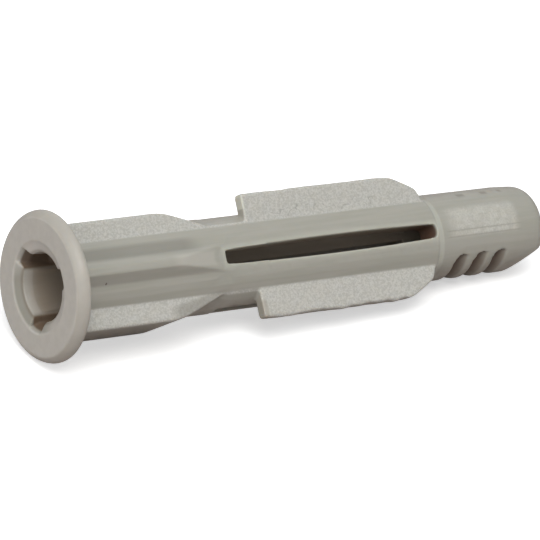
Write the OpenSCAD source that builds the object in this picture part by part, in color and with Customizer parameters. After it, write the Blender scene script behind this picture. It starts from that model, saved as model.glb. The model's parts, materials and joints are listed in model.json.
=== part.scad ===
// Universal wall plug with a collar, moulded in one piece.
// It is drawn upright on its axis and then laid down as it comes to rest on a table.
// Upright, +Z runs from the collar's face to the tip, +X through the front slot, +Y through one wing.

/* [Overall] */
// Length of the plug, from the collar's face to the end of the tip
plug_l = 50; // [44:0.5:80]
// Diameter of the shaft just behind the collar
shaft_d = 8; // [6.6:0.1:10]
// How far the shaft's radius narrows from the collar to the end of the legs
shaft_taper = 0.05; // [0:0.01:0.3]

/* [Collar] */
// Diameter of the collar
collar_d = 12.7; // [11:0.1:16]
// Thickness of the collar
collar_t = 1.15; // [1.15:0.05:2]
// Width of the sloping band between the flat of the collar's face and its rim
collar_band = 0.52; // [0.3:0.02:0.56]
// Depth at which that band reaches the rim
collar_band_l = 0.5; // [0.3:0.05:0.5]
// Rounding of the rim's edge at the back
collar_rim_r = 0.2; // [0.1:0.02:0.2]

/* [Screw bore] */
// Diameter of the shallow dish round the mouth
dish_d = 7.8; // [7:0.1:9]
// Depth of the dish
dish_depth = 0.45; // [0.2:0.05:0.8]
// Diameter of the mouth at the bottom of the dish
mouth_d = 5.8; // [5.4:0.1:6.4]
// Depth at which the mouth has narrowed to the guide bore
mouth_l = 4.4; // [4:0.1:6]
// Diameter of the plain bore that guides the screw
guide_d = 5; // [3.8:0.1:5.2]
// Diameter of the pilot hole through the tip
pilot_d = 2.6; // [1.8:0.1:3.2]
// Width of each of the three wedge-shaped grooves in the mouth
groove_w = 1.64; // [1.2:0.02:2]
// Plastic left between a groove and the shaft's surface, just behind the collar
groove_wall = 0.55; // [0.4:0.05:0.8]
// Distance from the axis to the outer end of a groove, at the collar's face
groove_r = 3.85; // [3.6:0.05:4.2]
// Depth from which the floor of a groove rises to the guide bore
groove_l = 3; // [2.2:0.1:3.8]
// Rounding of the edges between the grooves and the mouth
groove_round = 0.4; // [0.2:0.05:0.5]

/* [Slots and legs] */
// Distance from the collar's face to the slots
sleeve_l = 16.2; // [12:0.1:20]
// Distance from the end of the slots to the end of the tip
tip_l = 12; // [11.5:0.1:16]
// Width of the front slot at its ends
slot_end_w = 1.15; // [0.8:0.05:1.4]
// Width of the front slot halfway along
slot_mid_w = 1.55; // [1.4:0.05:2]
// Rounding of the front slot's corners at the sleeve
slot_start_round = 0.2; // [0.1:0.02:0.36]
// Rounding of the front slot's corners at the tip
slot_tip_round = 0.45; // [0.1:0.05:0.55]
// Width of the straight slot at the back
back_slot_w = 0.5; // [0.4:0.05:1.2]
// Width of the two slots under the wings
side_slot_w = 2.1; // [1.6:0.05:2.4]

/* [Anti-rotation fins and ribs] */
// Width of each of the two broad fins
fin_w = 5.7; // [4.4:0.1:6]
// How far the fins stand out of the shaft
fin_h = 0.56; // [0.3:0.02:0.9]
// How far the ribs in line with the slots stand out of the shaft
rib_h = 0.76; // [0.3:0.02:0.9]
// Width of a rib along its crest
rib_crest_w = 0.6; // [0.3:0.02:0.8]
// Width of a rib where it meets the shaft
rib_base_w = 2.3; // [1.8:0.05:3]
// Length of the ramp that ends the fins and ribs
ramp_l = 4.8; // [3:0.1:6]

/* [Wings] */
// Distance from the middle of the slot under a wing to the wing's inner face
wing_offset = 1.85; // [1.5:0.05:2]
// Thickness of a wing
wing_t = 1; // [0.8:0.05:1.2]
// How far a wing stands out past the shaft's radius
wing_h = 1.3; // [0.9:0.05:1.6]
// Distance from the start of the slots to the blunt end of a wing
wing_setback = 3.4; // [2:0.1:5]
// Length over which a wing runs down to the shaft at its other end
wing_runout = 3.2; // [2.4:0.1:5]

/* [Tip and teeth] */
// How far the tip's radius is under the shaft's
tip_step = 0.3; // [0.1:0.02:0.4]
// Length over which the legs run down to the tip
tip_step_l = 0.7; // [0.3:0.05:1]
// Distance from the end of the slots to the end of the plain round stretch of the tip
shank_l = 2.05; // [1.8:0.05:4]
// How far the tip's radius narrows from there to the nose
tip_taper = 0.04; // [0.02:0.01:0.2]
// Length of the nose, over which the tip narrows further
nose_l = 3.2; // [2.4:0.1:3.6]
// How far the nose's radius would narrow along its length without its rounding
nose_taper = 0.2; // [0.2:0.02:0.4]
// Rounding of the nose's edge
nose_round = 1.3; // [0.6:0.1:1.6]
// How deep the sloping flat under the nose, on the teeth's side, cuts in at the very end
nose_bevel = 1.6; // [0.8:0.1:2]
// Number of teeth
tooth_count = 3; // [1:1:3]
// Distance from one tooth to the next
tooth_pitch = 2.06; // [1.8:0.02:2.3]
// Distance from the end of the slots to the first tooth
tooth_setback = 2.12; // [1:0.02:2.8]
// Depth of the cut behind a tooth
tooth_depth = 0.75; // [0.4:0.05:0.9]
// Length of the cut behind a tooth
tooth_cut_l = 1.55; // [1.2:0.05:1.8]
// Width of the row of teeth
tooth_row_w = 5.8; // [4.4:0.05:6]
// Rounding of the two corners of a cut at the tooth
tooth_round = 0.75; // [0.3:0.05:1]

/* [Resting pose] */
// How far the plug lies rolled back from the roll at which a wing touches the table
rest_turn = 22.6; // [0:0.1:30]

/* [Hidden] */

plastic_grey = [0.63, 0.62, 0.58];
overlap = 0.6;
arc_steps = 6;
long_arc_steps = 16;
small_round = 0.25;
edge_round = 0.1;
band_edge_round = 0.2;
band_rim_round = 1;
rib_sink = 0.05;
ramp_round = 6;
crest_end_round = 4;
wing_toe_l = 0.6;
wing_toe_round = 1.2;
nose_start_round = 0.9;
$fn = 96;

shaft_r = shaft_d / 2;
leg_end_r = shaft_r - shaft_taper;
tip_r = shaft_r - tip_step;
nose_start_r = tip_r - tip_taper;
collar_r = collar_d / 2;
guide_r = guide_d / 2;
pilot_r = pilot_d / 2;
slots_end = plug_l - tip_l;
slots_l = slots_end - sleeve_l;
fin_r = shaft_r + fin_h;
rib_r = shaft_r + rib_h;
wing_r = shaft_r + wing_h;
wing_start = sleeve_l + wing_setback;
wing_crest_end = slots_end - wing_runout;
nose_start = plug_l - nose_l;

// The plug lies on its collar and its tip, rolled back a little from where the rounded inner
// edge of one wing's crest would stop it, near that crest's end.
rest_rim_z = collar_t - collar_rim_r;
rest_pitch = atan((collar_r - nose_start_r) / (nose_start - rest_rim_z));
crest_turn = atan((wing_r - leg_end_r) / (slots_end - wing_toe_l - wing_crest_end));
crest_contact_z = wing_crest_end - crest_end_round * tan(crest_turn / 2);
rest_wing_reach = collar_r - (crest_contact_z - rest_rim_z) * tan(rest_pitch);
wing_edge = [wing_r - edge_round, wing_offset + edge_round];
wing_stop_roll = acos((rest_wing_reach - edge_round) / norm(wing_edge)) - atan(wing_edge.y / wing_edge.x);
rest_roll = wing_stop_roll + rest_turn;

function unit(v) = v / norm(v);

// Arc that rounds the corner at b between a and c
function corner_arc(a, b, c, r, steps) =
    let (
        u = unit(a - b),
        v = unit(c - b),
        half = acos(u * v) / 2,
        centre = b + unit(u + v) * r / sin(half),
        from_start = b + u * r / tan(half) - centre,
        start = atan2(from_start.y, from_start.x),
        turn = (180 - 2 * half) * sign(u.x * v.y - u.y * v.x)
    )
    [for (i = [0:steps]) centre + r * [cos(start - turn * i / steps), sin(start - turn * i / steps)]];

// Outline whose corners are rounded: each corner is [x, y, radius]
function rounded(corners, steps = arc_steps) =
    let (n = len(corners))
    [for (i = [0:n - 1])
        let (
            b = corners[i],
            a = corners[(i + n - 1) % n],
            c = corners[(i + 1) % n]
        )
        each (b[2] == 0
            ? [[b.x, b.y]]
            : corner_arc([a.x, a.y], [b.x, b.y], [c.x, c.y], b[2], steps))
    ];

// Carries a drawing of length along +X and height along +Y to the upright plug's +Z and +Y,
// with the given stretch across X.
module across(x_from, x_to) {
    translate([x_from, 0, 0])
        rotate([90, 0, 90])
            rotate([0, 0, 90])
                mirror([0, 1, 0])
                    linear_extrude(x_to - x_from)
                        children();
}

module collar() {
    rotate_extrude()
        polygon(concat(
            rounded([
                [0, 0, 0],
                [collar_r - collar_band, 0, band_edge_round],
                [collar_r, collar_band_l, band_rim_round],
                [collar_r, collar_t, collar_rim_r],
                [shaft_r + small_round, collar_t, 0]
            ]),
            [for (i = [1:arc_steps])
                let (a = 270 - 90 * i / arc_steps)
                [shaft_r + small_round * (1 + cos(a)), collar_t + small_round * (1 + sin(a))]],
            [[0, collar_t + small_round]]
        ));
}

module shaft() {
    rotate_extrude()
        polygon(rounded([
            [0, 0, 0],
            [shaft_r, 0, 0],
            [shaft_r, collar_t, 0],
            [leg_end_r, slots_end, 0],
            [tip_r, slots_end + tip_step_l, 0],
            [tip_r, slots_end + shank_l, 0],
            [nose_start_r, nose_start, nose_start_round],
            [nose_start_r - nose_taper, plug_l, nose_round],
            [0, plug_l, 0]
        ]));
}

// Side outline shared by the fins and ribs: full height from the collar, then the ramp,
// which ends where the corners of a fin or rib of this width sink into the shaft
module ramped_side(height, width) {
    end_height = sqrt(pow(shaft_r, 2) - pow(width / 2, 2));
    polygon(rounded([
        [collar_t / 2, 0, 0],
        [collar_t / 2, height, 0],
        [sleeve_l - ramp_l, height, ramp_round],
        [sleeve_l, end_height, 0],
        [sleeve_l, 0, 0]
    ]));
}

module fin() {
    intersection() {
        across(-fin_w / 2, fin_w / 2)
            ramped_side(fin_r, fin_w);
        linear_extrude(sleeve_l)
            polygon(rounded([
                [-fin_w / 2, 0, 0],
                [-fin_w / 2, fin_r, small_round],
                [fin_w / 2, fin_r, small_round],
                [fin_w / 2, 0, 0]
            ]));
    }
}

module rib() {
    foot = sqrt(pow(shaft_r, 2) - pow(rib_base_w / 2, 2)) - rib_sink;
    rotate([0, 0, -90])
        intersection() {
            across(-rib_base_w, rib_base_w)
                ramped_side(rib_r, rib_base_w);
            linear_extrude(sleeve_l)
                polygon([
                    [-rib_base_w / 2, 0],
                    [-rib_base_w / 2, foot],
                    [-rib_crest_w / 2, rib_r],
                    [rib_crest_w / 2, rib_r],
                    [rib_base_w / 2, foot],
                    [rib_base_w / 2, 0]
                ]);
        }
}

module wing() {
    intersection() {
        across(wing_offset, wing_offset + wing_t)
            polygon(rounded([
                [wing_start, guide_r, 0],
                [wing_start, wing_r, small_round],
                [wing_crest_end, wing_r, crest_end_round],
                [slots_end - wing_toe_l, leg_end_r, wing_toe_round],
                [slots_end, guide_r, 0]
            ]));
        linear_extrude(slots_end)
            polygon(rounded([
                [wing_offset, guide_r, 0],
                [wing_offset, wing_r, edge_round],
                [wing_offset + wing_t, wing_r, small_round],
                [wing_offset + wing_t, guide_r, 0]
            ]));
    }
}

// Room for the screw: dish, narrowing mouth, guide, tapering channel and pilot hole
module screw_bore() {
    dish_slope = (dish_d - mouth_d) / 2 / dish_depth;
    rotate_extrude()
        polygon([
            [0, -overlap],
            [dish_d / 2 + overlap * dish_slope, -overlap],
            [mouth_d / 2, dish_depth],
            [guide_r, mouth_l],
            [guide_r, sleeve_l - overlap],
            [pilot_r, slots_end],
            [pilot_r, plug_l + overlap],
            [0, plug_l + overlap]
        ]);
}

// One groove: parallel flanks rounded off into the mouth, and a deep floor that rises to the guide bore
module mouth_groove() {
    mouth_r = mouth_d / 2;
    flank = groove_w / 2;
    centre = [sqrt(pow(mouth_r + groove_round, 2) - pow(flank + groove_round, 2)), flank + groove_round];
    start = 180 + atan2(centre.y, centre.x);
    edge = [for (i = [0:arc_steps])
        let (a = start + (270 - start) * i / arc_steps)
        centre + groove_round * [cos(a), sin(a)]];
    intersection() {
        translate([0, 0, -overlap])
            linear_extrude(mouth_l + overlap)
                polygon(concat(
                    [[0, 0]],
                    edge,
                    [[shaft_d, flank], [shaft_d, -flank]],
                    [for (i = [arc_steps:-1:0]) [edge[i].x, -edge[i].y]]
                ));
        rotate_extrude()
            polygon([
                [0, -overlap],
                [groove_r, -overlap],
                [groove_r, 0],
                [shaft_r - groove_wall, collar_t],
                [shaft_r - groove_wall, groove_l],
                [guide_r, mouth_l],
                [0, mouth_l]
            ]);
    }
}

// Lens-shaped slot through the front wall, widest halfway along and rounder at the tip's end
module front_slot() {
    bow = (slot_mid_w - slot_end_w) / 2;
    edge = [for (i = [0:long_arc_steps])
        let (t = i / long_arc_steps)
        [sleeve_l + slots_l * t, slot_end_w / 2 + 4 * bow * t * (1 - t),
            i == 0 ? slot_start_round : i == long_arc_steps ? slot_tip_round : 0]];
    other_edge = [for (i = [long_arc_steps:-1:0]) [edge[i].x, -edge[i].y, edge[i].z]];
    rotate([0, 0, -90])
        rotate([0, -90, -90])
            linear_extrude(shaft_r + overlap)
                polygon(rounded(concat(edge, other_edge)));
}

// Narrow straight slot through the back wall
module back_slot() {
    translate([-shaft_r - overlap, -back_slot_w / 2, sleeve_l])
        cube([shaft_r + overlap, back_slot_w, slots_l]);
}

// Slot of even width beside a wing
module side_slot() {
    translate([-side_slot_w / 2, 0, sleeve_l])
        cube([side_slot_w, shaft_r + overlap, slots_l]);
}

// Cut behind one tooth: a steep wall, then a floor that climbs back to the tip's surface
module tooth_cut(z) {
    climb = tooth_cut_l / tooth_depth;
    cut_end = z + climb * (tooth_depth + overlap);
    intersection() {
        rotate_extrude()
            polygon([
                [tip_r - tooth_depth, z],
                [tip_r + overlap, z],
                [tip_r + overlap, cut_end]
            ]);
        rotate([90, 0, 180])
            linear_extrude(shaft_r + overlap)
                polygon(rounded([
                    [-tooth_row_w / 2, z, tooth_round],
                    [tooth_row_w / 2, z, tooth_round],
                    [tooth_row_w / 2, cut_end, 0],
                    [-tooth_row_w / 2, cut_end, 0]
                ]));
    }
}

// Sloping flat under the nose, on the side of the teeth
module nose_flat() {
    slope = nose_bevel / nose_l;
    across(-shaft_d, shaft_d)
        polygon([
            [nose_start, tip_r],
            [plug_l + overlap, tip_r - slope * (nose_l + overlap)],
            [plug_l + overlap, shaft_d],
            [nose_start, shaft_d]
        ]);
}

module upright_plug() {
    difference() {
        union() {
            collar();
            shaft();
            for (side = [0, 1]) {
                mirror([0, side, 0]) {
                    fin();
                    wing();
                }
                mirror([side, 0, 0])
                    rib();
            }
        }
        screw_bore();
        for (turn = [0:120:240])
            rotate([0, 0, turn])
                mouth_groove();
        for (side = [0, 1])
            mirror([0, side, 0])
                side_slot();
        front_slot();
        back_slot();
        for (i = [0:tooth_count - 1])
            tooth_cut(slots_end + tooth_setback + tooth_pitch * i);
        nose_flat();
    }
}

module wall_plug() {
    color(plastic_grey)
        rotate([-90 - rest_roll, rest_pitch, 0])
            rotate([0, 90, 0])
                upright_plug();
}

wall_plug();
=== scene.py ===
"""Looks of the wall plug: a soft surface made from the CAD shape, its plastic, the light and the camera"""

import json
import math

import bpy
import numpy as np
from mathutils import Matrix, Vector, noise

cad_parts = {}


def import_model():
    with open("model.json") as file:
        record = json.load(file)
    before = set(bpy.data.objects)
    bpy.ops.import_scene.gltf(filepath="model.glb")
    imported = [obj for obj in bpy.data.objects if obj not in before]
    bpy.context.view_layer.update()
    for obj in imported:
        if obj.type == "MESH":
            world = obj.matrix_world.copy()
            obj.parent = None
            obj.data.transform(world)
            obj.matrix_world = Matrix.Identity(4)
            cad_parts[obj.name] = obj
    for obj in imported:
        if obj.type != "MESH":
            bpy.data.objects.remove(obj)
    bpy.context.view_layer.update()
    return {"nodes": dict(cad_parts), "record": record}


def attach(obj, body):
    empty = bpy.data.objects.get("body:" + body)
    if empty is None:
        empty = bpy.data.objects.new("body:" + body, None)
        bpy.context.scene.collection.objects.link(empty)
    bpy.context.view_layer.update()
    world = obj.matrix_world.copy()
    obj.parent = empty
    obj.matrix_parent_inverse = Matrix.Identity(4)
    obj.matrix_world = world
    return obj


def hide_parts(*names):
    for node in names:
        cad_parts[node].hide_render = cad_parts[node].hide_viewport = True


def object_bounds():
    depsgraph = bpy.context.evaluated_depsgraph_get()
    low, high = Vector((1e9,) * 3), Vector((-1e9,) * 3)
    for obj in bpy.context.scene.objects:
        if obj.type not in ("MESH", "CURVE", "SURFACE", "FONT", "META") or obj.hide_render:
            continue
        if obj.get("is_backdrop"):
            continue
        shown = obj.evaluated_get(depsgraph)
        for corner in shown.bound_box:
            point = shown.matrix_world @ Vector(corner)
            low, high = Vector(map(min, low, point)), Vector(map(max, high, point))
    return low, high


MM = 0.001

# Roll of the front slot above the horizontal in degrees; the pitch is read from the screw bore's axis
REST_ROLL = 40.956

# Sizes in millimetres, upright: z from the collar's face, x through the front slot, y through the lower wing
PLUG_L = 50.0
FRONT_X = 2.85
SHAFT_R = 4.0
TIP_R = 3.7
SLEEVE_END = 16.2
RAMP_START, RAMP_SLOPE = 11.4, 0.158
SLOTS_END = 38.0
SLOT_END_W, SLOT_MID_W = 1.15, 1.55
WING_START, WING_END, WING_R = 19.6, 36.0, 5.3
MOUTH_R = 2.9
DISH_R = 3.9
GROOVE_R, GROOVE_END = 3.85, 4.1
COLLAR_T, COLLAR_R, COLLAR_BAND = 1.15, 6.35, 0.52
TOOTH_START, TOOTH_PITCH, TEETH_END = 40.12, 2.06, 46.1

# Ragged crests of the wings: side, seed and depth
RAGGED_CRESTS = ((1, 3.1, 0.11), (-1, 7.7, 0.035))

# Dents on the tip: place along the plug, angle in degrees and depth
DENTS = ((42.5, -53, 0.12), (45.0, -56, 0.1), (46.7, -56, 0.07))
DENT_HALF, DENT_HALF_ANGLE = 0.55, 7

# Faint waves on the shaft: depth, and the angle in degrees where they are strongest
WAVE_DEPTH, WAVE_ANGLE = 0.012, -20

# Marks made by colour, some of them painted shade: low and high end along the plug or across it, or one place
# the dents on the tip are darkened by painted shade
DENT_SHADES, DENT_Y = ((42.1, 42.9), (44.65, 45.35), (46.5, 46.9)), -3.02
WITNESS_LINES_Y, WITNESS_Z = (0.2, 0.72), (39.2, 47.0)
PATCH_Y, PATCH_Z = (-2.2, 1.0), (39.0, 47.2)
WRINKLES_Y, WRINKLES_Z = (-3.9, -2.9), (21.5, 33.0)
# painted shade at the start of a side slot
CRESCENT_X, CRESCENT_Z = 1.15, SLEEVE_END + 1.7
SPECK_Y, SPECK_Z = 0.97, 4.0

# Making of the surface
VOXEL = 0.1
SMOOTH_STEPS, SMOOTH_OUT, SMOOTH_BACK = 4, 0.55, -0.4
TRIANGLES, QUICK_TRIANGLES = 190000, 60000

# Sockets of a mix node that hold its two colours and the result
MIX_A, MIX_B, MIX_RESULT = 6, 7, 2

# Floor and world in metres; the camera sees them brighter, so that they are white and keep the shadow
FLOOR_SIZE, FLOOR_GAP = 4.0, 0.00002
FLOOR_LIT, FLOOR_SEEN, FLOOR_GLOW = (0.42, 0.375, 0.36, 1), (0.9, 0.9, 0.9, 1), 0.5
WORLD_COLOUR, WORLD_LIT, WORLD_SEEN = (0.96, 0.98, 1.0, 1), 0.36, 1.0

# Middle of the plug in metres, where the floor is centred and the lamps point
MIDDLE = (0.02, 0, 0)

# Lamps: name, place and side in metres, power and colour
LAMPS = (
    ("key", (-0.2, -0.34, 0.72), 0.5, 4.6, (1.0, 0.99, 0.97)),
    ("face", (-0.7, -0.2, 0.3), 0.4, 1.25, (1.0, 0.99, 0.97)),
    ("back", (0.35, 0.6, 0.35), 0.5, 0.5, (0.97, 0.98, 1.0)),
)

# Camera: angles in degrees, distance, lens and shift in millimetres, near and far limit in metres
CAM_AZ, CAM_EL, CAM_ROLL = -37.988, 28.884, 9.975
CAM_DIST, CAM_LENS, CAM_SENSOR = 480.0, 391.646, 36
CAM_RIGHT, CAM_UP = 18.969, 1.446
CAM_NEAR, CAM_FAR = 0.01, 20


def upright_to_row(record):
    """Turns the upright plug into the way it lies"""
    bore = next(m for m in record["mounts"] if m["name"] == "screw_bore")
    pitch = math.asin(bore["axis"][2])
    return (Matrix.Rotation(pitch, 3, "Y")
            @ Matrix.Rotation(math.radians(-90 - REST_ROLL), 3, "X")
            @ Matrix.Rotation(math.radians(90), 3, "Y"))


def rows(items, name, kind=float, width=3):
    """One property of every item of a mesh, as an array with a row for each"""
    values = np.empty(len(items) * width, dtype=kind)
    items.foreach_get(name, values)
    return values.reshape(-1, width)


def triangles_of(mesh):
    """The mesh's faces as triangles"""
    mesh.calc_loop_triangles()
    return rows(mesh.loop_triangles, "vertices", np.int32)


def move(mesh, points):
    """Gives every vertex of the mesh a new place"""
    mesh.vertices.foreach_set("co", points.ravel())
    mesh.update()


def evaluated(name, points, faces, kind, **settings):
    """The mesh after one modifier"""
    mesh = bpy.data.meshes.new(name)
    mesh.from_pydata(points.tolist(), [], faces.tolist())
    obj = bpy.data.objects.new(name, mesh)
    bpy.context.collection.objects.link(obj)
    modifier = obj.modifiers.new(kind.lower(), kind)
    for key, value in settings.items():
        setattr(modifier, key, value)
    done = bpy.data.meshes.new_from_object(obj.evaluated_get(bpy.context.evaluated_depsgraph_get()))
    bpy.data.objects.remove(obj)
    bpy.data.meshes.remove(mesh)
    return done


def welded(points, faces):
    """Joins vertices that share a place"""
    unique, index = np.unique(np.round(points, 5), axis=0, return_inverse=True)
    faces = index.reshape(-1)[faces]
    keep = (faces[:, 0] != faces[:, 1]) & (faces[:, 1] != faces[:, 2]) & (faces[:, 0] != faces[:, 2])
    return unique, faces[keep]


def smoothed(points, edges):
    """Moves each vertex towards its neighbours and partly back, which rounds edges but keeps the size"""
    count = np.bincount(edges.ravel(), minlength=len(points))[:, None]
    for share in (SMOOTH_OUT, SMOOTH_BACK) * SMOOTH_STEPS:
        total = np.zeros_like(points)
        np.add.at(total, edges[:, 0], points[edges[:, 1]])
        np.add.at(total, edges[:, 1], points[edges[:, 0]])
        points = points + (total / count - points) * share
    return points


def ramp(value, low, high):
    """0 below low, 1 above high, smooth between"""
    t = np.clip((value - low) / (high - low), 0, 1)
    return t * t * (3 - 2 * t)


def bump(value, centre, half):
    """1 at the centre, falling away over about half"""
    return np.exp(-((value - centre) / half) ** 2)


def wave(values, seed, scale):
    """Smooth noise along one direction, between about -1 and 1"""
    grid = np.arange(-2, PLUG_L + 3, 0.1)
    line = np.array([noise.noise(Vector((g * scale, seed, 0.5 * seed))) for g in grid])
    return np.interp(values, grid, line) * 1.8


def moulding_marks(points, normals):
    """Small faults of the moulding: ragged crests on the wings, dents on the tip, faint waves on the shaft"""
    x, y, z = points.T
    r = np.hypot(x, y)
    angle = np.degrees(np.arctan2(y, x))
    moved = points.copy()
    on_wings = (ramp(z, WING_START - 0.6, WING_START + 0.4) * (1 - ramp(z, WING_END - 1, WING_END + 1))
                * ramp(x, 1.6, 2.6))
    for side, seed, depth in RAGGED_CRESTS:
        crest = ramp(side * y, WING_R - 0.45, WING_R)
        ragged = wave(z, seed, 0.33) + 0.6 * wave(z, seed + 5, 1.1)
        moved[:, 1] += side * depth * crest * on_wings * ragged
    depth = np.zeros(len(points))
    for place, place_angle, deep in DENTS:
        depth += deep * bump(z, place, DENT_HALF) * bump(angle, place_angle, DENT_HALF_ANGLE)
    waves = wave(z, 1.7, 0.25) * bump(angle, WAVE_ANGLE, 40)
    depth += WAVE_DEPTH * (1 - ramp(r, SHAFT_R, SHAFT_R + 0.3)) * waves
    moved -= normals * (depth * ramp(z, COLLAR_T, COLLAR_T + 1))[:, None]
    return moved


def moulded_plug(node, turn):
    """The plug's visible surface as it lies, with its upright millimetres stored as an attribute"""
    in_row = rows(node.data.vertices, "co")
    upright, faces = welded(in_row @ np.array(turn) / MM, triangles_of(node.data))
    size = VOXEL * 1
    mesh = evaluated("remeshed", upright, faces, "REMESH", mode="VOXEL", voxel_size=size)
    points = smoothed(rows(mesh.vertices, "co"), rows(mesh.edges, "vertices", np.int32, 2))
    move(mesh, points)
    points = moulding_marks(points, rows(mesh.vertex_normals, "vector"))
    move(mesh, points)
    faces = triangles_of(mesh)
    bpy.data.meshes.remove(mesh)

    wanted = TRIANGLES
    done = evaluated("wall_plug_surface", points, faces, "DECIMATE", ratio=min(1.0, wanted / len(faces)))
    upright = rows(done.vertices, "co")
    attribute = done.attributes.new("upright", "FLOAT_VECTOR", "POINT")
    attribute.data.foreach_set("vector", upright.ravel())
    # no point may leave the box of the CAD shape
    move(done, np.clip(upright @ np.array(turn).T * MM, in_row.min(axis=0), in_row.max(axis=0)))
    for polygon in done.polygons:
        polygon.use_smooth = True
    obj = bpy.data.objects.new("wall_plug_surface", done)
    bpy.context.collection.objects.link(obj)
    return obj


def fill(node, inputs):
    """Gives inputs of a node a number, a vector or a colour, or links a value to them"""
    for key, value in inputs.items():
        if isinstance(value, Value):
            node.id_data.links.new(value.socket, node.inputs[key])
        else:
            node.inputs[key].default_value = value


class Value:
    """What a node gives out, with sums, soft steps, noise and mixes as further nodes of the same tree"""

    def __init__(self, socket):
        self.socket = socket

    def node(self, kind, **settings):
        """A new node in this value's tree"""
        node = self.socket.id_data.nodes.new(kind)
        for key, setting in settings.items():
            setattr(node, key, setting)
        return node

    def math(self, operation, *others):
        """A maths node that takes this value first"""
        node = self.node("ShaderNodeMath", operation=operation)
        fill(node, dict(enumerate((self, *others))))
        return Value(node.outputs[0])

    def __add__(self, other):
        return self.math("ADD", other)

    def __mul__(self, other):
        return self.math("MULTIPLY", other)

    def __sub__(self, other):
        return self.math("SUBTRACT", other)

    def __rsub__(self, other):
        return self.math("MULTIPLY_ADD", -1.0, other)

    def __abs__(self):
        return self.math("ABSOLUTE")

    def rise(self, low, high):
        """0 below low, 1 above high, smooth between; the other way round if low is above high"""
        node = self.node("ShaderNodeMapRange", interpolation_type="SMOOTHSTEP")
        first, last = (1.0, 0.0) if low > high else (0.0, 1.0)
        fill(node, {"Value": self, "From Min": min(low, high), "From Max": max(low, high)})
        fill(node, {"To Min": first, "To Max": last})
        return Value(node.outputs["Result"])

    def span(self, low, high, soft):
        """1 between low and high, with soft ends"""
        return self.rise(low - soft, low + soft) * self.rise(high + soft, high - soft)

    def line(self, centre, half):
        """1 at the centre, 0 from half away"""
        return abs(self - centre).rise(half, 0.0)

    def mix(self, a, b):
        """Colour a where this value is 0, colour b where it is 1"""
        node = self.node("ShaderNodeMix", data_type="RGBA")
        fill(node, {0: self, MIX_A: a, MIX_B: b})
        return Value(node.outputs[MIX_RESULT])

    def noise(self, scale, detail, rough):
        """Noise between 0 and 1, for a value that is a place"""
        node = self.node("ShaderNodeTexNoise")
        fill(node, {"Vector": self, "Scale": scale, "Detail": detail, "Roughness": rough})
        return Value(node.outputs["Fac"])

    def stretched(self, scale):
        """A place with each coordinate times its own scale"""
        node = self.node("ShaderNodeVectorMath", operation="MULTIPLY")
        fill(node, {0: self, 1: scale})
        return Value(node.outputs[0])


def grey(r, g, b):
    """A colour as it shows on the screen, 0 to 255, turned linear"""
    def linear(c):
        c /= 255
        return c / 12.92 if c <= 0.04045 else ((c + 0.055) / 1.055) ** 2.4
    return (linear(r), linear(g), linear(b), 1.0)


class Place:
    """Where a point lies on the upright plug, with the zones and the noise that several shades use"""

    def __init__(self, tree):
        attribute = tree.nodes.new("ShaderNodeAttribute")
        attribute.attribute_name = "upright"
        self.vector = Value(attribute.outputs["Vector"])
        split = tree.nodes.new("ShaderNodeSeparateXYZ")
        fill(split, {0: self.vector})
        self.x, self.y, self.z = (Value(socket) for socket in split.outputs)
        self.r = (self.x * self.x + self.y * self.y).math("SQRT")
        self.off_side = abs(self.y)
        self.front_half = self.x.rise(0.0, 0.5)
        self.collar = self.z.rise(COLLAR_T + 0.25, COLLAR_T + 0.05)
        # the front faces of the fins and wings were spark-eroded in the mould
        self.eroded = (self.x.span(FRONT_X - 0.22, FRONT_X + 0.3, 0.05)
                       * self.z.rise(COLLAR_T - 0.1, COLLAR_T + 0.1) * self.off_side.rise(2.65, 2.85))
        self.fine = self.vector.noise(6.5, 3.0, 0.6)
        self.coarse = self.vector.noise(1.3, 2.0, 0.5)
        self.streaks = self.vector.stretched((2.2, 2.2, 0.16)).noise(1.0, 2.0, 0.55)


def plain_colour(at):
    """The plastic without its marks: shaft, collar and eroded faces"""
    shaft = at.streaks.rise(0.35, 0.65).mix(grey(166, 165, 155), grey(171, 169, 160))
    collar = at.coarse.rise(0.35, 0.65).mix(grey(188, 185, 178), grey(192, 189, 182))
    # towards the sides by the wings the shaft is a little darker and warmer
    strip = at.coarse.rise(0.35, 0.65).mix(grey(162, 158, 148), grey(168, 164, 155))
    in_strip = (abs(at.x).rise(FRONT_X + 0.1, FRONT_X - 1.4) * at.r.rise(SHAFT_R - 0.95, SHAFT_R - 0.75)
                * at.z.rise(COLLAR_T + 0.1, COLLAR_T + 0.3))
    eroded = at.fine.rise(0.36, 0.64).mix(grey(178, 177, 170), grey(198, 197, 191))
    return at.eroded.mix(in_strip.mix(at.collar.mix(shaft, collar), strip), eroded)


def rim_and_step_highlights(at):
    """Painted highlights round the front slot's rim and on the step before the tip"""
    along = (at.z - 0.5 * (SLEEVE_END + SLOTS_END)) * (2 / (SLOTS_END - SLEEVE_END))
    half = SLOT_MID_W / 2 - along * along * ((SLOT_MID_W - SLOT_END_W) / 2)
    past_ends = (at.z - SLOTS_END).math("MAXIMUM", SLEEVE_END - at.z)
    past_outline = (at.off_side - half).math("MAXIMUM", past_ends)
    # painted highlight round the front slot's rim
    rim_highlight = past_outline.rise(0.55, 0.1) * at.x.rise(3.0, 3.3) * at.r.rise(TIP_R - 0.3, TIP_R - 0.15)
    # painted highlight on the step before the tip, whose slope faces away from the light
    step_highlight = (at.z.span(SLOTS_END + 0.12, SLOTS_END + 0.75, 0.12) * at.x.rise(1.8, 3.0)
            * at.r.rise(TIP_R - 0.2, TIP_R - 0.05))
    return [(rim_highlight, 0.55, (188, 189, 177)), (step_highlight, 0.6, (206, 207, 195))]


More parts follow.
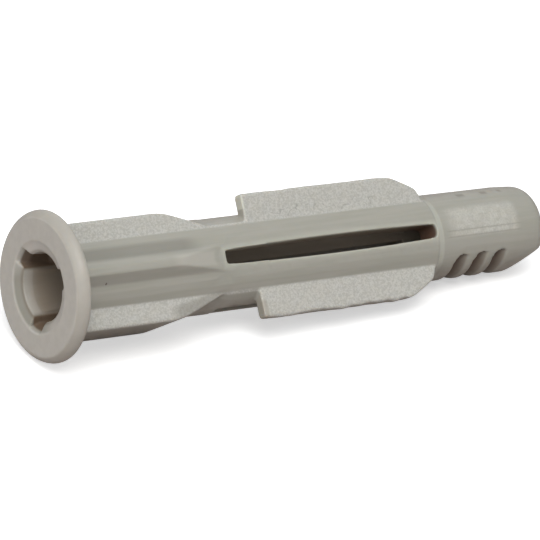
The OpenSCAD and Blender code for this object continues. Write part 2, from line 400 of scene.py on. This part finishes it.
def sleeve_and_wing_shades(at):
    """Painted shade beside the front rib, on one fin's ramp and on one wing's end; painted highlights on the
    rib's ramp and the other wing's end
    """
    # painted shade beside the front rib
    shade_beside_rib = at.y.span(-2.05, -0.95, 0.25) * at.x.rise(2.6, 3.0) * at.z.span(1.3, 13.5, 1.2)
    # painted highlight on the end of one wing, painted shade on the end of the other
    wing_end_highlight = at.z.span(WING_START - 0.4, WING_START + 0.14, 0.05) * at.y.rise(-3.95, -4.1)
    wing_end_shade = (at.z.span(WING_START - 0.2, WING_START + 0.45, 0.12) * at.y.rise(3.7, 3.95)
                 * at.x.rise(2.2, 2.6))
    past_ramp_edge = at.y + (at.z - RAMP_START) * RAMP_SLOPE
    # painted shade on one fin's ramp
    shaded_ramp = (past_ramp_edge.rise(3.1, 3.5) * at.z.span(RAMP_START - 0.5, SLEEVE_END, 0.7)
                   * at.x.rise(2.4, 2.7))
    # painted highlight on the top of the rib's ramp
    rib_ramp_highlight = (at.z.span(RAMP_START - 0.6, SLEEVE_END - 0.6, 0.7) * at.off_side.rise(0.8, 0.35)
                * at.r.rise(SHAFT_R + 0.02, SHAFT_R + 0.12) * at.x.rise(3.0, 3.4))
    return [
        (shade_beside_rib, 0.7, (138, 136, 128)),
        (wing_end_highlight, 0.8, (206, 206, 194)),
        (wing_end_shade, 0.7, (166, 160, 149)),
        (shaded_ramp, 0.55, (132, 128, 120)),
        (rib_ramp_highlight, 0.6, (190, 187, 178)),
    ]


def collar_shades(at):
    """Painted shade on one side of the dish and on the collar's sloping band, and a painted highlight on the
    dish's other side
    """
    on_dish = at.collar * at.r.rise(MOUTH_R - 0.1, MOUTH_R + 0.1)
    # painted shade on one side of the dish
    shaded_side = (on_dish * at.r.rise(DISH_R + 0.1, DISH_R - 0.3) * at.z.rise(0.0, 0.12)
                   * at.x.rise(1.2, -1.0) * at.y.rise(-3.2, -1.2))
    # painted highlight on the other side of the dish
    dish_highlight = (on_dish * at.r.rise(DISH_R + 0.1, DISH_R - 0.2) * at.z.rise(0.02, 0.2)
                  * at.x.rise(-2.6, -1.2) * at.y.rise(-1.0, -2.6))
    # painted shade on the collar's sloping band
    band_shade = at.collar * at.r.rise(COLLAR_R - COLLAR_BAND - 0.1, COLLAR_R - COLLAR_BAND + 0.1)
    return [
        (shaded_side, 0.9, (146, 144, 134)),
        (dish_highlight, 0.6, (206, 203, 196)),
        (band_shade, 0.5, (168, 163, 153)),
    ]


def bore_shades(at):
    """Brownish painted shade in the bore, less so between the legs, and in the grooves"""
    less_between_legs = 1.0 - at.z.rise(SLEEVE_END - 1.5, SLEEVE_END + 0.5) * 0.4
    # brownish painted shade in the bore, inside the legs and in the grooves
    bore = at.r.rise(MOUTH_R + 0.3, MOUTH_R - 0.05) * at.z.rise(0.35, 1.9) * less_between_legs
    legs_inside_shade = at.r.rise(MOUTH_R, MOUTH_R - 0.3) * at.z.rise(SLEEVE_END - 1.5, SLEEVE_END + 1)
    groove_shade = at.r.span(MOUTH_R + 0.06, GROOVE_R - 0.13, 0.08) * at.z.span(0.4, GROOVE_END, 0.12)
    return [
        (bore, 0.75, (146, 131, 116)),
        (legs_inside_shade, 0.15, (110, 86, 66)),
        (groove_shade, 0.85, (98, 76, 56)),
    ]


def slot_shades(at):
    """Painted shade on the walls of the front slot, darker along it, and reddish painted shade at its end"""
    in_slot = at.off_side.rise(1.05, 0.85) * at.x.rise(0.5, 1.0)
    # painted shade on the front slot's walls
    slot_wall_shade = (in_slot * at.r.rise(SHAFT_R - 0.2, SHAFT_R - 0.8)
            * at.z.span(SLEEVE_END - 0.2, SLOTS_END + 0.3, 0.1))
    # reddish painted shade at the front slot's end
    slot_end_shade = (in_slot * at.r.rise(SHAFT_R - 0.15, SHAFT_R - 0.5)
           * at.z.rise(SLOTS_END - 3.5, SLOTS_END - 0.2) * at.z.rise(SLOTS_END + 0.4, SLOTS_END + 0.2))
    return [
        (slot_wall_shade * at.z.rise(SLEEVE_END, SLOTS_END), 0.35, (70, 44, 28)),
        (slot_wall_shade, 0.3, (150, 126, 104)),
        (slot_end_shade, 0.75, (84, 52, 36)),
    ]


def tooth_shades(at):
    """Painted shade in the recesses behind the teeth, fading along each tooth"""
    along = ((at.z - TOOTH_START) * (1 / TOOTH_PITCH)).math("FRACT")
    # painted shade in each tooth's recess
    tooth_recess_shade = (at.r.rise(TIP_R - 0.06, TIP_R - 0.18) * at.y.rise(1.6, 2.1)
              * at.z.span(TOOTH_START, TEETH_END, 0.05) * (along.rise(0.85, 0.2) * 0.8 + 0.2))
    return [(tooth_recess_shade, 0.95, (88, 70, 56))]


def tip_patch(at):
    """The lighter, slightly rough patch on the front of the tip, as a value from 0 to 1"""
    (low_y, high_y), (low_z, high_z) = PATCH_Y, PATCH_Z
    inside = (at.y.rise(low_y, low_y + 0.8) * at.y.rise(high_y, high_y - 0.5)
              * at.z.rise(low_z, low_z + 1.6) * at.z.rise(high_z, high_z - 1.0) * at.front_half)
    return inside * (at.fine.rise(0.36, 0.6) * 0.5 + 0.5) * (at.coarse.rise(0.4, 0.6) * 0.3 + 0.7)


def mark_shades(at):
    """Witness lines on the tip, painted shade in its dents and at a side slot's start, wrinkles on a wing and
    a speck of dirt
    """
    witness = [at.y.line(y, 0.11) * at.z.span(*WITNESS_Z, 0.3) * at.front_half for y in WITNESS_LINES_Y]
    folds = at.vector.stretched((0.0, 0.9, 0.6)).noise(1.0, 1.0, 0.5)
    wrinkles = (folds.line(0.5, 0.022) * at.coarse.rise(0.46, 0.54) * at.eroded
                * at.y.span(*WRINKLES_Y, 0.2) * at.z.span(*WRINKLES_Z, 1.0))
    # painted shade at the start of the side slot
    slot_start_shade = at.z.line(CRESCENT_Z, 1.0) * at.x.line(CRESCENT_X, 0.4) * at.y.rise(2.8, 3.2)
    # painted shade in the dents on the tip
    shaded_dents = [at.z.span(*ends, 0.12) * at.y.line(DENT_Y, 0.28) * at.front_half for ends in DENT_SHADES]
    off_speck = abs(at.y - SPECK_Y) + abs(at.z - SPECK_Z)
    speck = off_speck.rise(0.16, 0.05) * at.x.rise(3.0, 3.4)
    return [
        *((where, 0.4, (138, 134, 124)) for where in witness),
        (wrinkles, 0.5, (130, 129, 122)),
        (slot_start_shade, 0.6, (84, 70, 60)),
        *((where, 0.6, (126, 121, 110)) for where in shaded_dents),
        (speck, 0.8, (84, 64, 56)),
    ]


def painted(colour, shades):
    """Lays each shade over the colour: where it is, how strong, and its own colour"""
    for where, strength, shade in shades:
        colour = (where * strength).mix(colour, grey(*shade))
    return colour


def new_material(name):
    """A material with the node of its surface"""
    made = bpy.data.materials.new(name)
    made.use_nodes = True
    return made, made.node_tree.nodes["Principled BSDF"]


def plastic():
    """Grey moulded plastic with its marks, and with shade and highlights painted into its colour"""
    made, surface = new_material("grey_plastic")
    at = Place(made.node_tree)
    patch = tip_patch(at)
    shades = rim_and_step_highlights(at) + sleeve_and_wing_shades(at) + collar_shades(at) + bore_shades(at)
    shades += slot_shades(at) + tooth_shades(at) + [(patch, 0.75, (204, 203, 195))] + mark_shades(at)

    bumps = made.node_tree.nodes.new("ShaderNodeBump")
    height = (at.eroded + patch * 0.5) * at.fine * 0.5 + at.streaks * 0.05
    fill(bumps, {"Strength": 0.5, "Distance": 0.05 * MM, "Height": height})
    fill(surface, {
        "Base Color": painted(plain_colour(at), shades),
        "Roughness": at.eroded * 0.3 + 0.42,
        "IOR": 1.5,
        "Specular IOR Level": 0.45,
        "Subsurface Weight": 0.3,
        "Subsurface Radius": (1.0, 0.72, 0.45),
        "Subsurface Scale": 0.5 * MM,
        "Normal": Value(bumps.outputs[0]),
    })
    return made


def floor():
    """Pale floor just under the plug"""
    low = min(corner[2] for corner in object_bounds())
    bpy.ops.mesh.primitive_plane_add(size=FLOOR_SIZE, location=(*MIDDLE[:2], low - FLOOR_GAP))
    plane = bpy.context.object
    plane.name = "floor"
    made, surface = new_material("floor")
    seen = Value(made.node_tree.nodes.new("ShaderNodeLightPath").outputs["Is Camera Ray"])
    fill(surface, {
        "Base Color": seen.mix(FLOOR_LIT, FLOOR_SEEN),
        "Roughness": 0.9,
        "Specular IOR Level": 0.1,
        "Emission Color": (1.0, 1.0, 1.0, 1),
        "Emission Strength": seen * FLOOR_GLOW,
    })
    plane.data.materials.append(made)
    plane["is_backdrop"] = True


def world():
    """Soft light from all round, and a pale background for the camera"""
    made = bpy.data.worlds.new("studio")
    bpy.context.scene.world = made
    made.use_nodes = True
    nodes = made.node_tree.nodes
    nodes.clear()
    lit = nodes.new("ShaderNodeBackground")
    fill(lit, {"Color": WORLD_COLOUR, "Strength": WORLD_LIT})
    seen = nodes.new("ShaderNodeBackground")
    fill(seen, {"Strength": WORLD_SEEN})
    path = nodes.new("ShaderNodeLightPath")
    mix = nodes.new("ShaderNodeMixShader")
    fill(mix, {0: Value(path.outputs["Is Camera Ray"]), 1: Value(lit.outputs[0]), 2: Value(seen.outputs[0])})
    fill(nodes.new("ShaderNodeOutputWorld"), {0: Value(mix.outputs[0])})


def lamp(name, place, side, power, colour):
    """A square lamp that points to the middle of the plug"""
    data = bpy.data.lights.new(name, "AREA")
    data.shape = "SQUARE"
    data.size = side
    data.energy = power
    data.color = colour
    obj = bpy.data.objects.new(name, data)
    bpy.context.collection.objects.link(obj)
    obj.location = place
    obj.rotation_euler = (Vector(MIDDLE) - Vector(place)).to_track_quat("-Z", "Y").to_euler()


def camera():
    """The camera as it was fitted to the photo"""
    az, el, roll = (math.radians(a) for a in (CAM_AZ, CAM_EL, CAM_ROLL))
    back = Vector((math.sin(az) * math.cos(el), -math.cos(az) * math.cos(el), math.sin(el)))
    right = Vector((math.cos(az), math.sin(az), 0))
    up = back.cross(right)
    right, up = (math.cos(roll) * right + math.sin(roll) * up, math.cos(roll) * up - math.sin(roll) * right)
    data = bpy.data.cameras.new("camera")
    data.lens = CAM_LENS
    data.sensor_width = CAM_SENSOR
    data.clip_start = CAM_NEAR
    data.clip_end = CAM_FAR
    obj = bpy.data.objects.new("camera", data)
    bpy.context.collection.objects.link(obj)
    place = (right * CAM_RIGHT + up * CAM_UP + back * CAM_DIST) * MM
    turn = Matrix((right, up, back)).transposed()
    obj.matrix_world = Matrix.Translation(place) @ turn.to_4x4()
    bpy.context.scene.camera = obj


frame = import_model()

turn = upright_to_row(frame["record"])
plug = moulded_plug(frame["nodes"]["wall_plug"], turn)
plug.data.materials.append(plastic())
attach(plug, "root")
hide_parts("wall_plug")

floor()
world()
for settings in LAMPS:
    lamp(*settings)
camera()

bpy.context.scene.view_settings.view_transform = "Standard"
